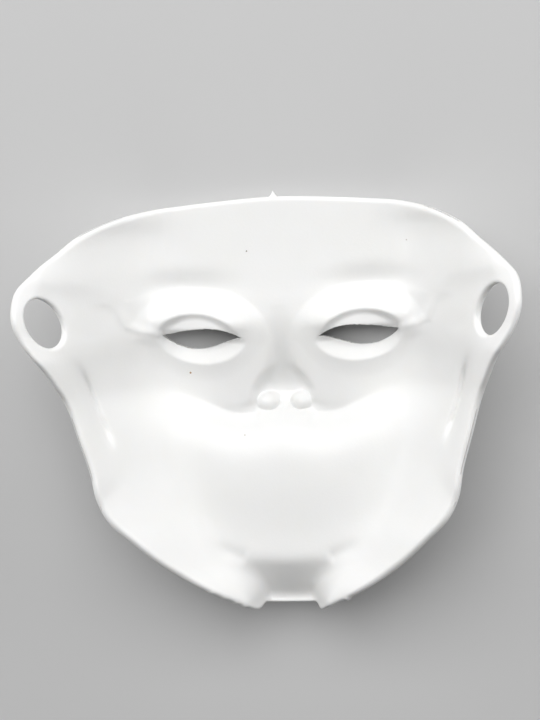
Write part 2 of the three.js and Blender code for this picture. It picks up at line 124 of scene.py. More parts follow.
# Upper and lower edge of the eye slit, from the nose outward: (along, up) from the eye's centre
SLIT_UPPER = (
    (-17.3, -0.3), (-14, 1.3), (-10, 2.6), (-4.5, 3.2), (0, 2.9), (4, 2.3), (7.5, 1.8), (12.5, 0.4),
    (17.2, -0.6),
)
SLIT_LOWER = (
    (-17.3, -0.3), (-14.2, -0.9), (-12.4, -1.6), (-9, -3), (-4.5, -4.8), (-1, -5.8), (3.5, -6.25),
    (7.7, -5.8), (12.4, -4.1), (15.8, -2.1), (17.2, -0.6),
)

# Brow hollow over each eye
BROW_HOLLOW = {"x": 42, "y": 21, "half_length": 15, "half_height": 5.2, "depth": 4}

# Folds and creases: line (x, y), height, width, fades at both ends, and width above the line if it differs
TEMPLE_FOLD = (
    ((95, 28), (84, 26.2), (78.5, 25.6), (72, 23.7), (68.5, 20.5), (66.8, 15.5), (66, 9)),
    1.8, 6, 0.15, 0.3, 11,
)
CORNER_FOLD = (((67, 15.5), (66, 10), (63.8, 5.4), (59.2, 2.9), (51, 0.9)), 1.3, 1.5, 0.3, 0.05, 2.2)
CROW_FOLD = (((65.5, 2.2), (60, 0.4), (55, -0.8), (50, -1.2)), 1, 2.4, 0.4, 0.1)
JAW_CREASE = (
    ((80.5, -6), (79.4, -12), (77.6, -23), (75, -31.5), (72, -39.5), (68.5, -48)),
    -4.6, 1.5, 0.3, 0.3,
)
CHIN_FOLD = (((17, -98), (25, -94.5), (33, -89.5)), -1, 3, 0.2, 0.6)
FOLDS = (TEMPLE_FOLD, CORNER_FOLD, CROW_FOLD, JAW_CREASE, CHIN_FOLD)

# Chin hollow, open at the rim
CHIN = {"top": -98.3, "arch": 0.004, "bottom": -115.5, "slope": 0.73, "half_at_rim": 13.7, "half_at_top": 20}
CHIN_SIDE = {"soft_at_rim": 5, "soft_at_top": 9, "soft_top": 1.3, "soft_bottom": 0.8}
CHIN_LIP = {"start": -117, "end": -120.5, "lift": 1.2}

# Outer face: brow ridges and lips in low relief on the even wall
OUTER_BROW = (((6, 10), (20, 20), (40, 26), (60, 27), (70, 23)), 2.6, 6, 0.2, 0.3)
OUTER_LIP_UP = (((0, -61), (20, -60), (38, -54), (50, -46)), 1.8, 3.2, 0, 0.3)
OUTER_LIP_LOW = (((0, -71), (18, -69.5), (34, -62), (47, -51)), 1.8, 3.2, 0, 0.3)
OUTER_RELIEF = (OUTER_BROW, OUTER_LIP_UP, OUTER_LIP_LOW)

# The outer face keeps one wall thickness clear, tested on rings: (share of the thickness, points)
OFFSET_RINGS = ((0.4, 6), (0.75, 10), (0.97, 14))

# Rim: half of the outline as the outer edge shows it, from the top centre to the chin notch
RIM = (
    (0, FOREHEAD_TOP), (25.6, 57.4), (39.8, 56.3), (54.4, 54.7), (67.8, 50.7), (79.1, 44.4), (86.4, 37.3),
    (94.6, 29.2), (100.1, 22.2), (MASK_HALF_WIDTH, 14.5), (100.5, 8), (97.7, 0.9), (91.6, -9.3), (88, -18.7),
    (84.6, -28.6), (81.2, -41.1), (77.3, -55), (75, -67.1), (70.6, -76.1), (61.3, -86.3), (48.8, -98.8),
    (33.1, -110.1), (19.3, -118.3), (14.8, CHIN_BOTTOM), (12.2, -119.2), (9.5, -119.3), (0, -119.4),
)

# Strap hole, bored square to the tab's slope, and a small flat land beside it
STRAP_HOLE = {"x": 90.3, "y": 9.2, "half_across": 7.7, "half_up": 11.5, "lean": 39.2, "slope": 1.16}
STRAP_LAND = {"x": 73.6, "y": 7.7, "flat_radius": 4.6, "fade_radius": 9}

# Rest pose: the mask lies on its nose tip and its two brow ridges
REST_TILT = 8.7
REST_SHIFT = 30.4
REST_LIFT = 16.95

# Flash left along the rim: (x, y), how far it stands out and its half-width
FLASH = (
    ((-0.8, 58.6), 2.6, 0.9), ((27.4, -113.6), 1.4, 0.7), ((-20, -117.4), 0.9, 1),
    ((-23.5, -115.4), 0.8, 0.8), ((-28, -112.9), 0.5, 1.2), ((-16.5, -119.2), 0.5, 1),
    ((-33, -109.8), 0.4, 1),
)

# Specks in the plastic: place on the face (x, y), radius and colour
SPECKS = (
    ((-13.2, 35.6), 0.3, (0.16, 0.13, 0.1)), ((-40.4, -16.4), 0.42, (0.4, 0.22, 0.08)),
    ((55.6, 37.8), 0.3, (0.6, 0.57, 0.52)), ((-16.8, -43.8), 0.3, (0.6, 0.57, 0.52)),
)

# Rounded edges of the moulding, on the hollow side and on the outer face
RIM_ROUND = (1.8, 1.7)
HOLE_ROUND = (1.7, 1.2)
SLIT_ROUND = (0.5, 0.4)

# Spacing of the mesh points along the edges, and the box around the nostrils that has the finest mesh
RIM_STEP = 0.9
HOLE_STEP = 1
SLIT_STEP = 0.5
NOSTRIL_BOX = ((-15, -38), (15, -22))

# Nicks along the slits are a sum of waves: how many, the range of their turns around a slit, and the seed
NICK_WAVES = 14
NICK_TURNS = (12, 60)
NICK_SEED = 7

# The photograph's camera: its place and aim in the face frame, and its lens
EYE_LINE_CENTRE = (278.61, 333.47)
CAMERA_TURN = 7.5
CAMERA_RISE = 4.0
CAMERA_ROLL = 2.155
CAMERA_DISTANCE = 620
PIXELS_PER_MM = 2.3404
PHOTO_SIZE = (540, 720)
SENSOR_WIDTH = 36

# Soft lights: directions from the mask in the face frame, and distance, aim height and size in metres
KEY_LIGHT = (0, 0.45, 0.9)
SIDE_LIGHT = (-1, 0.45, 0.35)
LIGHT_DISTANCE = 2.2
LIGHT_AIM = 0.04
LIGHT_SIZE = (2.1, 1.6)

# White plastic: faint clouding as shares of its colour, noise scales of clouds, satin patches and grain, how
# far the roughness goes either way, and the light that scatters under the surface
CLOUD_TINT = (0.988, 0.988, 0.975)
CLOUD_SCALE = 45
PATCH_SCALE = 220
GRAIN_SCALE = 900
GRAIN_DEPTH = 0.0001
ROUGHNESS_RANGE = (-0.04, 0.05)
SUBSURFACE = {"Subsurface Weight": 0.15, "Subsurface Radius": (1.0, 0.9, 0.8), "Subsurface Scale": 0.002}


def smooth_step(start, end, value):
    t = np.clip((value - start) / (end - start), 0, 1)
    return t * t * (3 - 2 * t)


def bell(value):
    return np.exp(-value * value)


def mix(low, high, share):
    return low + (high - low) * share


def curve_through(pairs):
    """Smooth curve through (place, value) pairs."""
    places, values = np.array(sorted(pairs), float).T
    before = np.maximum(np.arange(len(places)) - 1, 0)
    after = np.minimum(np.arange(len(places)) + 1, len(places) - 1)
    slopes = (values[after] - values[before]) / (places[after] - places[before])

    def value_at(place):
        at = np.clip(place, places[0], places[-1])
        i = np.clip(np.searchsorted(places, at) - 1, 0, len(places) - 2)
        span = places[i + 1] - places[i]
        t = (at - places[i]) / span
        t2, t3 = t * t, t * t * t
        return (
            (2 * t3 - 3 * t2 + 1) * values[i]
            + (t3 - 2 * t2 + t) * span * slopes[i]
            + (3 * t2 - 2 * t3) * values[i + 1]
            + (t3 - t2) * span * slopes[i + 1]
        )

    return value_at


def fold(x, y, line, height, width, fade_in, fade_out, width_above=None):
    """A soft ridge, or a crease where the height is negative, along a line on each half of the face."""
    across = np.abs(x)
    nearest = np.full(np.shape(across), np.inf)
    share = np.zeros(np.shape(across))
    above = np.zeros(np.shape(across), bool)
    lengths = [math.dist(p, q) for p, q in zip(line, line[1:])]
    passed = 0
    for (x0, y0), (x1, y1), length in zip(line, line[1:], lengths):
        t = ((across - x0) * (x1 - x0) + (y - y0) * (y1 - y0)) / length**2
        along = np.clip(t, 0, 1)
        gap = np.hypot(across - x0 - along * (x1 - x0), y - y0 - along * (y1 - y0))
        closer = gap < nearest
        share = np.where(closer, (passed + along * length) / sum(lengths), share)
        above = np.where(closer, (y - y0) * (x1 - x0) < (across - x0) * (y1 - y0), above)
        nearest = np.minimum(gap, nearest)
        passed += length
    start = smooth_step(0, fade_in, share) if fade_in else 1
    spread = np.where(above, width_above or width, width)
    return height * bell(nearest / spread) * start * smooth_step(1, 1 - fade_out, share)


middle_height = curve_through(MIDDLE_LINE)
flare_start = curve_through(FLARE_START)
tab_ease = curve_through(TAB_EASE)
flange_start = curve_through(FLANGE_START)
crease_height = curve_through(CREASE_LINE)
nose_depth = curve_through(NOSE_DEPTH)
nose_half_width = curve_through(NOSE_HALF_WIDTH)
slit_upper = curve_through(SLIT_UPPER)
slit_lower = curve_through(SLIT_LOWER)


def soft_plus(value, softness):
    return softness * np.logaddexp(0, value / softness)


def flare(x, y):
    """Trough whose sides flare steeply at the temples and ease off into the strap tabs."""
    across = np.abs(x)
    slope = mix(FLARE_SLOPE["jaw"], FLARE_SLOPE["temple"], smooth_step(-24, -4, y))
    ease = tab_ease(y) * soft_plus(across - TAB_LINE, TAB_BEND)
    return middle_height(y) + slope * soft_plus(across - flare_start(y), FLARE_BEND) - ease


def flange(x, y):
    """The steeper flange between the jaw creases and the rim."""
    return FLANGE_SLOPE * soft_plus(np.abs(x) - flange_start(y), FLANGE_BEND)


def ledge(x, y):
    """Cheeks set deeper than the lower face, which they meet at the crease."""
    across = np.abs(x)
    below = crease_height(across) - y
    softness = mix(LEDGE_BEND["crease"], LEDGE_BEND["side"], smooth_step(*LEDGE_BEND["side_from"], across))
    climb = soft_plus(below, softness) - soft_plus(below - LEDGE_RUN, LEDGE_BEND["foot"])
    climbed = np.minimum(climb / LEDGE_RUN, 1)
    drop = LEDGE_DROP * (1 - smooth_step(*LEDGE_FADE, across))
    upward = np.exp(-np.maximum(-below, 0) / CREASE_DIP["run"])
    downward = bell(np.maximum(below, 0) / CREASE_DIP["below"])
    beside = smooth_step(*CREASE_DIP["start"], across) * (1 - smooth_step(*CREASE_DIP["end"], across))
    dip = CREASE_DIP["depth"] * upward * downward * beside
    return -(drop * (1 - smooth_step(0, CHEEK_FADE, -below)) + dip) * (1 - climbed)


def nose(x, y):
    """The nose hollow, squarest just above the nostrils, with its flanks and its middle ridge."""
    power = mix(NOSE_POWER["bridge"], NOSE_POWER["wide"], smooth_step(*NOSE_POWER["widens"], y))
    power = power - (NOSE_POWER["wide"] - NOSE_POWER["nostrils"]) * smooth_step(*NOSE_POWER["rounds"], y)
    depth = np.maximum(nose_depth(y), 0)
    core = depth * np.exp(-((np.abs(x) / nose_half_width(y)) ** power))
    flank_along = smooth_step(*NOSE_FLANK["top"], y) * smooth_step(*NOSE_FLANK["bottom"], y)
    flank = NOSE_FLANK["drop"] * bell(x / NOSE_FLANK["half_width"]) * flank_along
    ridge_along = smooth_step(COLUMELLA["start"], COLUMELLA["full"], y) * np.minimum(depth / 6, 1)
    return COLUMELLA["height"] * ridge_along * bell(x / COLUMELLA["half_width"]) - core - flank


def eye_place(x, y):
    """Place from the centre of the nearer eye, along its tilted line and up from it."""
    tilt = math.radians(EYE_TILT)
    across = np.abs(x) - EYE_X
    return across * math.cos(tilt) + y * math.sin(tilt), y * math.cos(tilt) - across * math.sin(tilt)


def eye(x, y):
    """The raised ring around each eye and the two lids inside it."""
    along, up = eye_place(x, y)
    above = smooth_step(-3, 3, up)
    crest_half = mix(RING_CREST["half_down"], RING_CREST["half_up"], above)
    crest_up = mix(RING_CREST["down"], RING_CREST["up"], above)
    crest = np.hypot((along - RING_CREST["shift"] * above) / crest_half, up / crest_up)
    foot_half = mix(RING_FOOT["half_below"], RING_FOOT["half"], smooth_step(-8, 4, up))
    foot = np.hypot(along / foot_half, up / mix(RING_FOOT["down"], RING_FOOT["up"], above))
    between = (crest > 1) & (foot < 1)
    outside = np.where(crest <= 1, 0.0, 1.0)
    flank = np.where(between, (crest - 1) / np.where(between, crest - foot, 1), outside)
    upward = up / crest_up / np.maximum(crest, 0.05)
    height = mix(RING_HEIGHT["down"], RING_HEIGHT["up"], smooth_step(-0.25, 0.8, upward))
    ring = height * (1 - 0.75 * flank - 0.25 * smooth_step(0, 1, flank))
    within = np.maximum(1 - crest, 0)
    lid_rise = (UPPER_LID["middle"] - UPPER_LID["corner"]) * (1 - (along / UPPER_LID["half"]) ** 2)
    lid = UPPER_LID["corner"] + np.maximum(lid_rise, 0) - UPPER_LID["slope"] * (up - 3)
    upper = mix(ring, lid, smooth_step(0, UPPER_LID["roll"], within))
    return mix(ring - LOWER_LID_SLOPE * within, upper, above)


def brow_hollow(x, y):
    """Shallow hollow over each eye, behind the brow."""
    along = (np.abs(x) - BROW_HOLLOW["x"]) / BROW_HOLLOW["half_length"]
    return -BROW_HOLLOW["depth"] * bell(along) * bell((y - BROW_HOLLOW["y"]) / BROW_HOLLOW["half_height"])


def chin_hollow(x, y):
    """Pocket at the chin, under an arched edge and open at the rim."""
    across = np.abs(x)
    rise = smooth_step(-116, -98, y)
    half = mix(CHIN["half_at_rim"], CHIN["half_at_top"], rise)
    soft = mix(CHIN_SIDE["soft_at_rim"], CHIN_SIDE["soft_at_top"], rise)
    below_top = soft_plus(CHIN["top"] + CHIN["arch"] * across**2 - y, CHIN_SIDE["soft_top"])
    below_bottom = soft_plus(CHIN["bottom"] - y, CHIN_SIDE["soft_bottom"])
    depth = CHIN["slope"] * (below_top - below_bottom)
    depth = depth - CHIN_LIP["lift"] * smooth_step(CHIN_LIP["start"], CHIN_LIP["end"], y)
    return -depth * smooth_step(half + soft, half - soft, across)


def formed_height(x, y):
    """Height of the hollow side without the strap lands and the backs of the nostrils."""
    return (
        flare(x, y) + flange(x, y) + ledge(x, y) + nose(x, y) + eye(x, y)
        + brow_hollow(x, y) + chin_hollow(x, y)
        + sum(fold(x, y, *line) for line in FOLDS)
    )


def shell_height(x, y):
    """Height of the hollow side without the backs of the nostrils, with the flat strap lands."""
    land_x, land_y = STRAP_LAND["x"], STRAP_LAND["y"]
    slope_x = (formed_height(land_x + 1, land_y) - formed_height(land_x - 1, land_y)) / 2
    slope_y = (formed_height(land_x, land_y + 1) - formed_height(land_x, land_y - 1)) / 2
    land = formed_height(land_x, land_y) + slope_x * (np.abs(x) - land_x) + slope_y * (y - land_y)
    away = np.hypot(np.abs(x) - land_x, y - land_y)
    faded = smooth_step(STRAP_LAND["flat_radius"], STRAP_LAND["fade_radius"], away)
    return mix(land, formed_height(x, y), faded)


def nostril_back(x, y):
    """Height of the round back of the nearer nostril, which falls away steeply outside its foot."""
    across = (np.abs(x) - NOSTRIL["x"]) / NOSTRIL["half_across"]
    away = np.hypot(across, (y - NOSTRIL["y"]) / NOSTRIL["half_up"])
    dome = np.sqrt(np.clip(1 - away**2, 0, 1))
    foot = NOSTRIL["top"] - NOSTRIL["rise"]
    return np.where(away < 1, foot + NOSTRIL["rise"] * dome, foot - 20 * (away - 1))


def inner_height(x, y):
    """Height of the hollow side."""
    base, dome = shell_height(x, y), nostril_back(x, y)
    return base + soft_plus(dome - base, NOSTRIL["join"])


def outer_height(x, y):
    """Height of the outer face: everywhere one wall thickness from the hollow side, plus the relief."""
    lowest = shell_height(x, y) - WALL
    for reach, count in OFFSET_RINGS:
        sink = WALL * math.sqrt(1 - reach**2)
        for i in range(count):
            angle = 2 * math.pi * i / count
            aside, along = WALL * reach * math.cos(angle), WALL * reach * math.sin(angle)
            lowest = np.minimum(lowest, shell_height(x + aside, y + along) - sink)
    return lowest - sum(fold(x, y, *line) for line in OUTER_RELIEF)


def wall_step(x, y):
    """Sideways step from the hollow side to the outer face, square to the broad form of the wall."""
    reach = 5

    def broad(px, py):
        return flare(px, py) + 0.5 * ledge(px, py)

    slope_x = (broad(x + reach, y) - broad(x - reach, y)) / (2 * reach)
    slope_y = (broad(x, y + reach) - broad(x, y - reach)) / (2 * reach)
    length = np.sqrt(1 + slope_x**2 + slope_y**2)
    return np.stack([WALL * slope_x / length, WALL * slope_y / length], -1)


def rest_place(points):
    """Points of the face frame in the rest pose, in metres."""
    x, y, z = np.moveaxis(np.asarray(points, float), -1, 0)
    cosine, sine = math.cos(math.radians(REST_TILT)), math.sin(math.radians(REST_TILT))
    laid_y = y * cosine + z * sine + REST_SHIFT
    laid_z = z * cosine - y * sine + REST_LIFT
    return np.stack([x, laid_y, laid_z], -1) * 0.001


def rest_direction(direction):
    """A direction of the face frame in the rest pose."""
    turn = Matrix.Rotation(math.radians(-REST_TILT), 3, "X")
    return (turn @ Vector(direction)).normalized()


def rim_points(step):
    """Points along the closed rim line at even steps, counterclockwise."""
    half = np.array(RIM, float)
    mirrored = half[1:-1][::-1] * (-1, 1)
    knots = np.vstack([half, mirrored])
    fine = []
    for i in range(len(knots)):
        p0, p1, p2, p3 = (knots[(i + k) % len(knots)] for k in (-1, 0, 1, 2))
        d0, d1, d2 = (math.sqrt(math.dist(a, b)) for a, b in ((p0, p1), (p1, p2), (p2, p3)))
        m1 = ((p1 - p0) / d0 - (p2 - p0) / (d0 + d1) + (p2 - p1) / d1) * d1
        m2 = ((p2 - p1) / d1 - (p3 - p1) / (d1 + d2) + (p3 - p2) / d2) * d1
        t = np.linspace(0, 1, 40, endpoint=False)[:, None]
        fine.append(
            (2 * t**3 - 3 * t**2 + 1) * p1 + (t**3 - 2 * t**2 + t) * m1
            + (3 * t**2 - 2 * t**3) * p2 + (t**3 - t**2) * m2
        )
    return even_loop(np.vstack(fine), step)[::-1]


def flash_steps(rim):
    """How far each rim point is pushed out by the flash, sideways."""
    along = np.roll(rim, -1, axis=0) - np.roll(rim, 1, axis=0)
    outward = np.column_stack([along[:, 1], -along[:, 0]]) / np.linalg.norm(along, axis=1)[:, None]
    height = np.zeros(len(rim))
    for place, size, half_width in FLASH:
        height += size * bell(np.linalg.norm(rim - np.array(place), axis=1) / half_width)
    return outward * height[:, None]


def even_loop(points, step):
    """The closed line through the points, cut into equal steps."""
    closed = np.vstack([points, points[:1]])
    lengths = np.linalg.norm(np.diff(closed, axis=0), axis=1)
    passed = np.concatenate([[0], np.cumsum(lengths)])
    count = max(8, round(passed[-1] / step))
    marks = np.arange(count) * passed[-1] / count
    return np.stack([np.interp(marks, passed, closed[:, k]) for k in range(2)], -1)


def slit_points(side, step, ragged, seed):
    """Outline of an eye slit, with the small nicks that the cutter left."""
    along = np.linspace(SLIT_UPPER[0][0], SLIT_UPPER[-1][0], 90)
    upper = np.stack([along, slit_upper(along)], -1)
    lower = np.stack([along, slit_lower(along)], -1)
    outline = even_loop(np.vstack([lower, upper[::-1][1:-1]]), step)
    noise = np.random.default_rng(seed)
    count = len(outline)
    around = 2 * math.pi * np.arange(count) / count
    wave = np.zeros(count)
    for _ in range(NICK_WAVES):
        turns = noise.integers(*NICK_TURNS)
        wave += np.sin(turns * around + noise.uniform(0, 6.3)) / math.sqrt(NICK_WAVES)
    outline[:, 1] += ragged * wave
    tilt = math.radians(EYE_TILT)
    x = EYE_X + outline[:, 0] * math.cos(tilt) - outline[:, 1] * math.sin(tilt)
    y = outline[:, 0] * math.sin(tilt) + outline[:, 1] * math.cos(tilt)
    loop = np.stack([side * x, y], -1)
    return loop if side > 0 else loop[::-1]


def strap_hole_edges(side, step):
    """Edges of a strap hole on the hollow side and on the outer face."""
    count = round(2 * math.pi * STRAP_HOLE["half_up"] / step)
    angle = np.linspace(0, 2 * math.pi, count, endpoint=False)
    short, long = STRAP_HOLE["half_across"] * np.cos(angle), STRAP_HOLE["half_up"] * np.sin(angle)
    lean, slope = math.radians(STRAP_HOLE["lean"]), math.atan(STRAP_HOLE["slope"])
    across = short * math.cos(lean) + long * math.sin(lean)
    up = long * math.cos(lean) - short * math.sin(lean)
    edges = []
    for height, lift in ((inner_height, WALL / 2), (outer_height, -WALL / 2)):
        x = STRAP_HOLE["x"] + across * math.cos(slope) - lift * math.sin(slope)
        y = STRAP_HOLE["y"] + up
        edge = np.stack([side * x, y, height(x, y)], -1)
        edges.append(edge if side > 0 else edge[::-1])
    return edges


def unit(vectors):
    """The vectors at length one."""
    return vectors / np.maximum(np.linalg.norm(vectors, axis=-1, keepdims=True), 1e-12)


def surface_normals(height, x, y):
    """Upward normals of a height field."""
    step = 0.05
    slope_x = (height(x + step, y) - height(x - step, y)) / (2 * step)
    slope_y = (height(x, y + step) - height(x, y - step)) / (2 * step)
    return unit(np.stack([-slope_x, -slope_y, np.ones_like(slope_x)], -1))


def inset_loop(edge, height, distance, inward):
    """The edge moved along its surface by a distance, away from the cut."""
    tangent = unit(np.roll(edge, -1, 0) - np.roll(edge, 1, 0))
    step = unit(np.cross(surface_normals(height, edge[:, 0], edge[:, 1]), tangent)) * inward
    moved = edge + step * distance
    moved[:, 2] = height(moved[:, 0], moved[:, 1])
    return moved


def edge_rings(inner_edge, outer_edge, rounds, inward, steps=6):
    """Rings of points from the hollow side over the rounded cut edge to the outer face."""
    start = inset_loop(inner_edge, inner_height, rounds[0], inward)
    end = inset_loop(outer_edge, outer_height, rounds[1], inward)
    wall = unit(outer_edge - inner_edge)
    bends = (
        (start, inner_edge, inner_edge + wall * rounds[0]),
        (outer_edge - wall * rounds[1], outer_edge, end),
    )
    rings = []
    for first, corner, last in bends:
        for t in np.linspace(0, 1, steps + 1):
            rings.append((1 - t) ** 2 * first + 2 * t * (1 - t) * corner + t**2 * last)
    return rings


def inside(points, loops):
    """True where a point is inside an odd number of the loops."""
    odd = np.zeros(len(points), bool)
    for loop in loops:
        for (x0, y0), (x1, y1) in zip(loop, np.roll(loop, -1, 0)):
            if y0 == y1:
                continue
            crosses = (points[:, 1] > min(y0, y1)) & (points[:, 1] <= max(y0, y1))
            at = x0 + (points[:, 1] - y0) * (x1 - x0) / (y1 - y0)
            odd ^= crosses & (points[:, 0] < at)
    return odd


def clear_of(points, loops, gap):
    """True where a point is farther than the gap from every corner of the loops."""
    clear = np.ones(len(points), bool)
    for loop in loops:
        for corner in loop:
            clear &= (points[:, 0] - corner[0]) ** 2 + (points[:, 1] - corner[1]) ** 2 > gap**2
    return clear


def hex_grid(low, high, spacing):
    """Points in staggered rows over a box."""
    rows = np.arange(low[1], high[1], spacing * math.sqrt(0.75))
    columns = np.arange(low[0], high[0], spacing)
    x, y = np.meshgrid(columns, rows)
    x = x + (np.arange(len(rows))[:, None] % 2) * spacing / 2
    return np.stack([x.ravel(), y.ravel()], -1)


def surface_mesh(loops, spacing, fine_boxes, fine_spacing):
    """Triangles over the area that the first loop bounds and the others are cut from."""
    grid = hex_grid(loops[0].min(0), loops[0].max(0), spacing)
    kept = np.ones(len(grid), bool)
    patches = []
    for low, high in fine_boxes:
        kept &= ~np.all((grid > low) & (grid < high), axis=1)
        patches.append(hex_grid(low, high, fine_spacing))
    grid = np.vstack([grid[kept], *patches])
    grid = grid[inside(grid, loops)]
    grid = grid[clear_of(grid, loops, 0.45 * spacing)]
    corners = np.vstack(loops)
    edges = []
    first = 0
    for loop in loops:
        edges += [(first + i, first + (i + 1) % len(loop)) for i in range(len(loop))]
        first += len(loop)
    points = [tuple(p) for p in np.vstack([corners, grid]).tolist()]
    flat, _, faces, sources, _, _ = delaunay_2d_cdt([Vector(p) for p in points], edges, [], 0, 1e-7, True)
    flat = np.array([(p.x, p.y) for p in flat])
    if len(flat) != len(points) or any(len(s) != 1 for s in sources):
        raise RuntimeError("the surface's points were joined or split while it was filled")
    order = np.array([s[0] for s in sources])
    faces = order[np.array(faces)]
    flat = np.array(points)
    faces = faces[inside(flat[faces].mean(1), loops)]
    a, b, c = (flat[faces[:, k]] for k in range(3))
    turn = (b[:, 0] - a[:, 0]) * (c[:, 1] - a[:, 1]) - (b[:, 1] - a[:, 1]) * (c[:, 0] - a[:, 0])
    faces[turn < 0] = faces[turn < 0][:, ::-1]
    return flat, faces


class MeshParts:
    """Points and faces of one mesh, gathered part by part."""

    def __init__(self):
        self.points = []
        self.faces = []
        self.count = 0

    def add_points(self, points):
        """Add points and give the number of the first."""
        self.points.append(np.asarray(points, float))
        first = self.count
        self.count += len(points)
        return first

    def add_strip(self, ring, next_ring, size, flip):
        """Add a closed strip of quads between two rings, given by the numbers of their first points."""
        for i in range(size):
            j = (i + 1) % size
            quad = (ring + i, ring + j, next_ring + j, next_ring + i)
            self.faces.append(quad[::-1] if flip else quad)


def raised(flat, height):
    """Flat points lifted to a height field."""
    return np.column_stack([flat, height(flat[:, 0], flat[:, 1])])


def cut_rings(ragged):
    """Rings over each cut edge, with 1 for the rim and -1 for a strap hole or slit."""
    rim = rim_points(RIM_STEP)
    rim_inner = rim - wall_step(rim[:, 0], rim[:, 1])
    cuts = [(raised(rim_inner, inner_height), raised(rim, outer_height), RIM_ROUND, 1)]
    for side in (-1, 1):
        cuts.append((*strap_hole_edges(side, HOLE_STEP), HOLE_ROUND, -1))
        slit = slit_points(side, SLIT_STEP, ragged, NICK_SEED + side)
        cuts.append((raised(slit, inner_height), raised(slit, outer_height), SLIT_ROUND, -1))
    all_rings = [(edge_rings(*cut), cut[3]) for cut in cuts]
    rim_rings = all_rings[0][0]
    flash = flash_steps(rim)
    for share, ring in zip(np.linspace(0, 1, len(rim_rings)), rim_rings):
        ring[:, :2] += flash * math.sin(math.pi * share)
    return all_rings


def add_surface(parts, height, loops, spacing, fine_boxes, up):
    """Add the hollow side or the outer face, and give the first point of each of its loops."""
    flat, faces = surface_mesh(loops, spacing, fine_boxes, spacing / 2)
    first = parts.add_points(raised(flat, height))
    parts.faces += [tuple(face) for face in ((faces if up else faces[:, ::-1]) + first).tolist()]
    return first + np.concatenate([[0], np.cumsum([len(loop) for loop in loops])])


def build_shell(spacing, outer_spacing, ragged):
    """The whole shell: the hollow side, the outer face and the rounded cut edges between them."""
    parts = MeshParts()
    all_rings = cut_rings(ragged)
    inner_loops = [rings[0][:, :2] for rings, _ in all_rings]
    outer_loops = [rings[-1][:, :2] for rings, _ in all_rings]
    inner_starts = add_surface(parts, inner_height, inner_loops, spacing, [NOSTRIL_BOX], True)
    outer_starts = add_surface(parts, outer_height, outer_loops, outer_spacing, [], False)
    for number, (rings, inward) in enumerate(all_rings):
        size = len(rings[0])
        previous = inner_starts[number]
        for ring in rings[1:-1]:
            here = parts.add_points(ring)
            parts.add_strip(previous, here, size, inward > 0)
            previous = here
        parts.add_strip(previous, outer_starts[number], size, inward > 0)
    return parts


def mesh_object(name, parts, material):
    """The gathered mesh as an object in the rest pose, cut flat at the floor."""
    points = rest_place(np.vstack(parts.points))
    points[:, 2] = np.maximum(points[:, 2], 0)
    mesh = bpy.data.meshes.new(name)
    mesh.from_pydata(points.tolist(), [], [tuple(int(i) for i in f) for f in parts.faces])
    mesh.validate()
    mesh.polygons.foreach_set("use_smooth", [True] * len(mesh.polygons))
    mesh.materials.append(material)
    mesh.update()
    made = bpy.data.objects.new(name, mesh)
    bpy.context.scene.collection.objects.link(made)
    return made


def add_node(material, kind, **settings):
    """A new shader node with some of its settings."""
    node = material.node_tree.nodes.new(kind)
    for name, value in settings.items():
        setattr(node, name, value)
    return node


def noise_node(material, place, scale, detail):
    """Noise over the object, with features of about one over the scale in metres."""
    noise = add_node(material, "ShaderNodeTexNoise")
    noise.inputs["Scale"].default_value = scale
    noise.inputs["Detail"].default_value = detail
    material.node_tree.links.new(place, noise.inputs["Vector"])
    return noise.outputs["Fac"]


def range_node(material, value, low, high):
    """A noise value stretched from its usual range to the given one."""
    stretch = add_node(material, "ShaderNodeMapRange")
    for name, number in (("From Min", 0.3), ("From Max", 0.7), ("To Min", low), ("To Max", high)):
        stretch.inputs[name].default_value = number
    material.node_tree.links.new(value, stretch.inputs["Value"])
    return stretch.outputs["Result"]


def mix_colour(material, share, first, second):
    """Mix of a colour, or of another node's colour, with a second colour."""
    blend = add_node(material, "ShaderNodeMix", data_type="RGBA")
    links = material.node_tree.links
    links.new(share, blend.inputs["Factor"])
    if isinstance(first, tuple):
        blend.inputs[6].default_value = (*first, 1)
    else:
        links.new(first, blend.inputs[6])
    blend.inputs[7].default_value = (*second, 1)
    return blend.outputs[2]


def speck_mask(material, place, centre, radius):
    """One inside a small speck that goes through the shell, and nought outside it."""
    level = add_node(material, "ShaderNodeVectorMath", operation="MULTIPLY")
    level.inputs[1].default_value = (1, 1, 0)
    away = add_node(material, "ShaderNodeVectorMath", operation="DISTANCE")
    away.inputs[1].default_value = (centre[0], centre[1], 0)
    speck = add_node(material, "ShaderNodeMath", operation="LESS_THAN")
    speck.inputs[1].default_value = radius * 0.001
    links = material.node_tree.links
    links.new(place, level.inputs[0])
    links.new(level.outputs[0], away.inputs[0])
    links.new(away.outputs["Value"], speck.inputs[0])
    return speck.outputs[0]


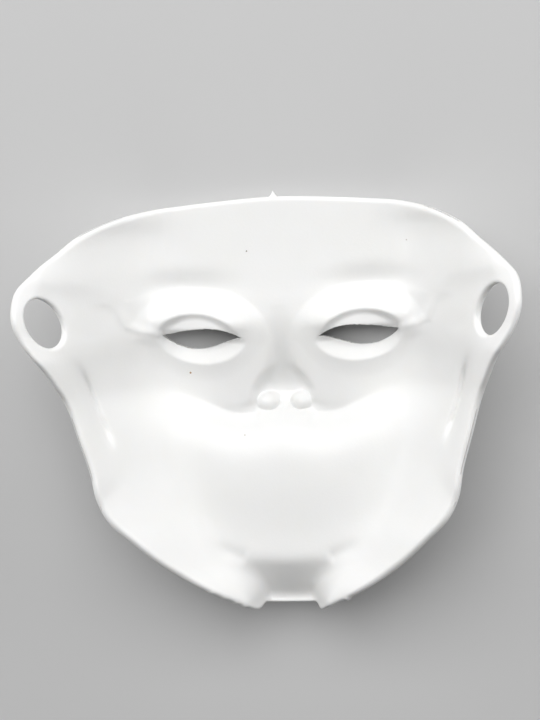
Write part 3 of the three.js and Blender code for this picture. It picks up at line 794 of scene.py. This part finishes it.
def plastic_material(colour, roughness, bump):
    """White satin plastic with faint clouding, a fine moulded grain and a few specks."""
    material = bpy.data.materials.new("white_moulded_plastic")
    material.use_nodes = True
    links = material.node_tree.links
    shader = material.node_tree.nodes["Principled BSDF"]
    place = add_node(material, "ShaderNodeTexCoord").outputs["Object"]
    cloud = range_node(material, noise_node(material, place, CLOUD_SCALE, 4), 0, 1)
    clouded = tuple(c * share for c, share in zip(colour, CLOUD_TINT))
    tint = mix_colour(material, cloud, tuple(colour), clouded)
    for centre, radius, speck_colour in SPECKS:
        height = float(inner_height(np.array(centre[0]), np.array(centre[1])))
        spot = rest_place((*centre, height))
        tint = mix_colour(material, speck_mask(material, place, spot, radius), tint, speck_colour)
    links.new(tint, shader.inputs["Base Color"])
    low, high = (roughness + change for change in ROUGHNESS_RANGE)
    patches = range_node(material, noise_node(material, place, PATCH_SCALE, 3), low, high)
    links.new(patches, shader.inputs["Roughness"])
    grain = add_node(material, "ShaderNodeBump")
    grain.inputs["Strength"].default_value = bump
    grain.inputs["Distance"].default_value = GRAIN_DEPTH
    links.new(noise_node(material, place, GRAIN_SCALE, 3), grain.inputs["Height"])
    links.new(grain.outputs["Normal"], shader.inputs["Normal"])
    for name, value in SUBSURFACE.items():
        shader.inputs[name].default_value = value
    return material


class MaskShellSettings(bpy.types.PropertyGroup):
    spacing: bpy.props.FloatProperty(
        name="Mesh spacing", description="Spacing of the mesh points on the hollow side, in millimetres",
        default=0.9, min=0.5, max=3)
    outer_spacing: bpy.props.FloatProperty(
        name="Outer spacing", description="Spacing of the mesh points on the outer face, in millimetres",
        default=1.3, min=0.5, max=4)
    ragged: bpy.props.FloatProperty(
        name="Slit nicks", description="Height of the nicks along the eye slits, in millimetres",
        default=0.12, min=0, max=0.5)
    colour: bpy.props.FloatVectorProperty(
        name="Plastic colour", description="Colour of the moulded plastic", subtype="COLOR",
        size=3, min=0, max=1, default=(0.885, 0.885, 0.882))
    roughness: bpy.props.FloatProperty(
        name="Roughness", description="Roughness of the moulded surface", subtype="FACTOR",
        default=0.42, min=0, max=1)
    grain: bpy.props.FloatProperty(
        name="Grain", description="Strength of the fine moulded grain", subtype="FACTOR",
        default=0.35, min=0, max=1)


class StudioSettings(bpy.types.PropertyGroup):
    floor_colour: bpy.props.FloatVectorProperty(
        name="Floor colour", description="Colour of the plain floor", subtype="COLOR",
        size=3, min=0, max=1, default=(0.6, 0.6, 0.6))
    key_power: bpy.props.FloatProperty(
        name="Key light", description="Power of the soft light above the camera, in watts", unit="POWER",
        default=48.5, min=0, max=200)
    side_power: bpy.props.FloatProperty(
        name="Side lights", description="Power of each soft light at the sides, in watts", unit="POWER",
        default=22, min=0, max=200)
    fill_strength: bpy.props.FloatProperty(
        name="Fill light", description="Strength of the even light from all round",
        default=0.03, min=0, max=5)


class MaskShellOperator(bpy.types.Operator):
    """Build the moulded shell of the mask"""

    bl_idname = "demon_mask.shell"
    bl_label = "Build mask shell"

    def execute(self, context):
        settings = context.scene.mask_shell
        parts = build_shell(settings.spacing, settings.outer_spacing, settings.ragged)
        material = plastic_material(settings.colour, settings.roughness, settings.grain)
        shell = mesh_object("mask_shell_moulding", parts, material)
        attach(shell, "root")
        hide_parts("mask_shell")
        return {"FINISHED"}


class StudioOperator(bpy.types.Operator):
    """Set the floor, the soft light and the camera"""

    bl_idname = "demon_mask.studio"
    bl_label = "Set up studio"

    def execute(self, context):
        settings = context.scene.mask_studio
        add_floor(settings.floor_colour)
        add_fill(context.scene, settings.fill_strength)
        add_soft_light("soft_key", KEY_LIGHT, settings.key_power)
        add_soft_light("soft_left", SIDE_LIGHT, settings.side_power)
        add_soft_light("soft_right", (-SIDE_LIGHT[0], *SIDE_LIGHT[1:]), settings.side_power)
        context.scene.camera = add_camera()
        context.scene.view_settings.view_transform = "Standard"
        return {"FINISHED"}


def add_floor(colour):
    """The plain matt floor that the mask lies on."""
    material = bpy.data.materials.new("plain_floor")
    material.use_nodes = True
    shader = material.node_tree.nodes["Principled BSDF"]
    shader.inputs["Base Color"].default_value = (*colour, 1)
    shader.inputs["Roughness"].default_value = 0.8
    half = 4
    corners = [(-half, -half, 0), (half, -half, 0), (half, half, 0), (-half, half, 0)]
    mesh = bpy.data.meshes.new("studio_floor")
    mesh.from_pydata(corners, [], [(0, 1, 2, 3)])
    mesh.materials.append(material)
    floor = bpy.data.objects.new("studio_floor", mesh)
    bpy.context.scene.collection.objects.link(floor)


def add_fill(scene, strength):
    """Even white light from all round."""
    world = bpy.data.worlds.new("soft_studio")
    world.use_nodes = True
    background = world.node_tree.nodes["Background"]
    background.inputs["Color"].default_value = (1, 1, 1, 1)
    background.inputs["Strength"].default_value = strength
    scene.world = world


def add_soft_light(name, direction, power):
    """A large soft light that faces the mask from a direction in the face frame."""
    lamp = bpy.data.lights.new(name, "AREA")
    lamp.shape = "RECTANGLE"
    lamp.size, lamp.size_y = LIGHT_SIZE
    lamp.energy = power
    light = bpy.data.objects.new(name, lamp)
    toward = rest_direction(direction)
    light.location = Vector((0, 0, LIGHT_AIM)) + toward * LIGHT_DISTANCE
    light.rotation_mode = "QUATERNION"
    light.rotation_quaternion = toward.to_track_quat("Z", "Y")
    bpy.context.scene.collection.objects.link(light)


def add_camera():
    """The photograph's camera, worked out from the mask's place in the frame."""
    turn, rise, roll = (math.radians(v) for v in (CAMERA_TURN, CAMERA_RISE, CAMERA_ROLL))
    back = Vector((math.sin(turn) * math.cos(rise), math.sin(rise), math.cos(turn) * math.cos(rise)))
    level_right = (-back).cross(Vector((0, 1, 0))).normalized()
    level_up = level_right.cross(-back)
    right = level_right * math.cos(roll) - level_up * math.sin(roll)
    up = level_right * math.sin(roll) + level_up * math.cos(roll)
    focal = PIXELS_PER_MM * CAMERA_DISTANCE
    aside = (EYE_LINE_CENTRE[0] - PHOTO_SIZE[0] / 2) / focal * CAMERA_DISTANCE
    below = (EYE_LINE_CENTRE[1] - PHOTO_SIZE[1] / 2) / focal * CAMERA_DISTANCE
    place = back * CAMERA_DISTANCE - right * aside + up * below
    data = bpy.data.cameras.new("camera")
    data.sensor_fit = "AUTO"
    data.sensor_width = SENSOR_WIDTH
    data.lens = SENSOR_WIDTH * focal / PHOTO_SIZE[1]
    camera = bpy.data.objects.new("camera", data)
    axes = Matrix([rest_direction(v) for v in (right, up, back)]).transposed()
    camera.matrix_world = Matrix.Translation(Vector(rest_place(place))) @ axes.to_4x4()
    bpy.context.scene.collection.objects.link(camera)
    return camera


SHELL_FIELDS = ("spacing", "outer_spacing", "ragged", "colour", "roughness", "grain")
STUDIO_FIELDS = ("floor_colour", "key_power", "side_power", "fill_strength")


class MaskPanel(bpy.types.Panel):
    """Sidebar panel with the settings of the shell and the studio"""

    bl_label = "Demon Mask"
    bl_idname = "VIEW3D_PT_demon_mask"
    bl_space_type = "VIEW_3D"
    bl_region_type = "UI"
    bl_category = "Mask"

    def draw(self, context):
        for settings, names, operator in (
            (context.scene.mask_shell, SHELL_FIELDS, MaskShellOperator),
            (context.scene.mask_studio, STUDIO_FIELDS, StudioOperator),
        ):
            box = self.layout.box()
            for name in names:
                box.prop(settings, name)
            box.operator(operator.bl_idname)


CLASSES = (MaskShellSettings, StudioSettings, MaskShellOperator, StudioOperator, MaskPanel)


def register():
    for kind in CLASSES:
        bpy.utils.register_class(kind)
    bpy.types.Scene.mask_shell = bpy.props.PointerProperty(type=MaskShellSettings)
    bpy.types.Scene.mask_studio = bpy.props.PointerProperty(type=StudioSettings)


def unregister():
    del bpy.types.Scene.mask_studio
    del bpy.types.Scene.mask_shell
    for kind in reversed(CLASSES):
        bpy.utils.unregister_class(kind)


def main():
    register()
    bpy.ops.demon_mask.shell()
    bpy.ops.demon_mask.studio()


if __name__ == "__main__":
    main()
